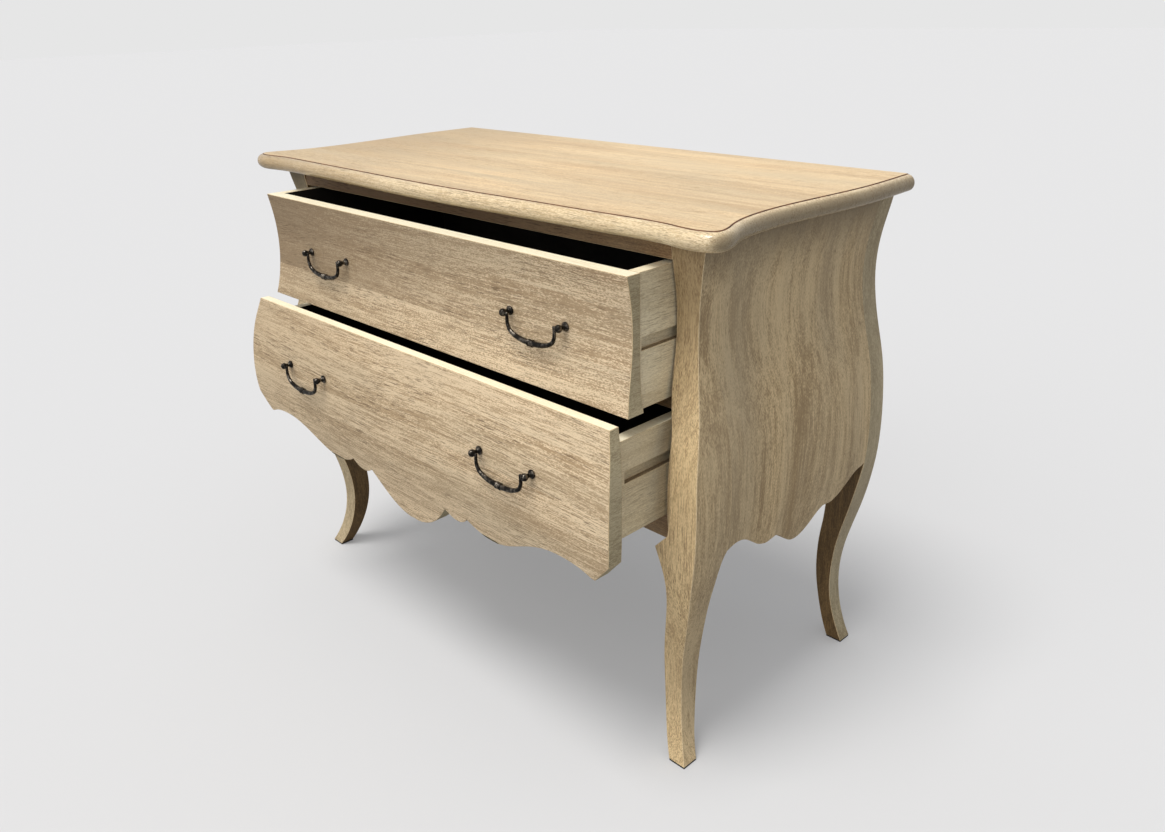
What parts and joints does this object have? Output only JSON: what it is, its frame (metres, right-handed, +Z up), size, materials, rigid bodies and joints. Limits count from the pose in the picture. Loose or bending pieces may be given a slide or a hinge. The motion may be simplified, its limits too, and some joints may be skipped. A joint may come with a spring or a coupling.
{
  "type": "bombe chest",
  "caption": "Two-drawer bombe chest of limed wood with swelling sides, cabriole legs, a scalloped apron, a bull-nosed top and drop bail pulls; drawers slide and bails swing.",
  "frame": {"origin": "on the floor, in the middle of the space that the chest takes up with both drawers part open", "axes": "+Z up, +X towards the chest's right side as seen from the front, -Y towards the front"},
  "size_m": [1.0658, 0.5944, 0.8],
  "materials": {
    "top_wood": "limed and waxed, satin",
    "front_wood": "limed and waxed, satin",
    "panel_wood": "limed and waxed, satin",
    "frame_wood": "limed and waxed, satin",
    "inner_wood": "bare, matt",
    "back_board": "bare, matt",
    "black_iron": "blackened, worn satin",
    "glide_plastic": "matt"
  },
  "bodies": {
    "case": {"back_bottom_rail": "inner_wood", "back_leg_left": "frame_wood", "back_leg_right": "frame_wood", "back_panel": "back_board", "back_top_rail": "inner_wood", "divider_rail": "frame_wood", "foot_glide_back_left": "glide_plastic", "foot_glide_back_right": "glide_plastic", "foot_glide_front_left": "glide_plastic", "foot_glide_front_right": "glide_plastic", "front_bottom_rail": "frame_wood", "front_leg_left": "frame_wood", "front_leg_right": "frame_wood", "front_top_rail": "frame_wood", "lower_runner_left": "inner_wood", "lower_runner_right": "inner_wood", "side_panel_left": "panel_wood", "side_panel_right": "panel_wood", "top_board": "top_wood", "top_cleat_left": "inner_wood", "top_cleat_right": "inner_wood", "upper_runner_left": "inner_wood", "upper_runner_right": "inner_wood"},
    "upper_drawer": {"upper_drawer_back": "inner_wood", "upper_drawer_bottom": "inner_wood", "upper_drawer_front": "front_wood", "upper_drawer_pull_posts": "black_iron", "upper_drawer_side_left": "inner_wood", "upper_drawer_side_right": "inner_wood"},
    "lower_drawer": {"lower_drawer_back": "inner_wood", "lower_drawer_bottom": "inner_wood", "lower_drawer_front": "front_wood", "lower_drawer_pull_posts": "black_iron", "lower_drawer_side_left": "inner_wood", "lower_drawer_side_right": "inner_wood"},
    "lower_drawer_bail_left": {"lower_drawer_bail_left": "black_iron"},
    "lower_drawer_bail_right": {"lower_drawer_bail_right": "black_iron"},
    "upper_drawer_bail_left": {"upper_drawer_bail_left": "black_iron"},
    "upper_drawer_bail_right": {"upper_drawer_bail_right": "black_iron"}
  },
  "joints": [
    {"name": "upper_drawer_slide", "type": "slide", "parent": "case", "child": "upper_drawer", "axis": [0, -1, 0], "range_m": [-0.08, 0.18]},
    {"name": "lower_drawer_slide", "type": "slide", "parent": "case", "child": "lower_drawer", "axis": [0, -1, 0], "range_m": [-0.112, 0.148]},
    {"name": "upper_drawer_bail_left_hinge", "type": "hinge", "parent": "upper_drawer", "child": "upper_drawer_bail_left", "pos_m": [-0.26, -0.22235, 0.656], "axis": [-1, 0, 0], "range_deg": [-8, 100]},
    {"name": "upper_drawer_bail_right_hinge", "type": "hinge", "parent": "upper_drawer", "child": "upper_drawer_bail_right", "pos_m": [0.26, -0.22235, 0.656], "axis": [-1, 0, 0], "range_deg": [-8, 100]},
    {"name": "lower_drawer_bail_left_hinge", "type": "hinge", "parent": "lower_drawer", "child": "lower_drawer_bail_left", "pos_m": [-0.26, -0.29182, 0.471], "axis": [-1, 0, 0], "range_deg": [-8, 100]},
    {"name": "lower_drawer_bail_right_hinge", "type": "hinge", "parent": "lower_drawer", "child": "lower_drawer_bail_right", "pos_m": [0.26, -0.29182, 0.471], "axis": [-1, 0, 0], "range_deg": [-8, 100]}
  ]
}
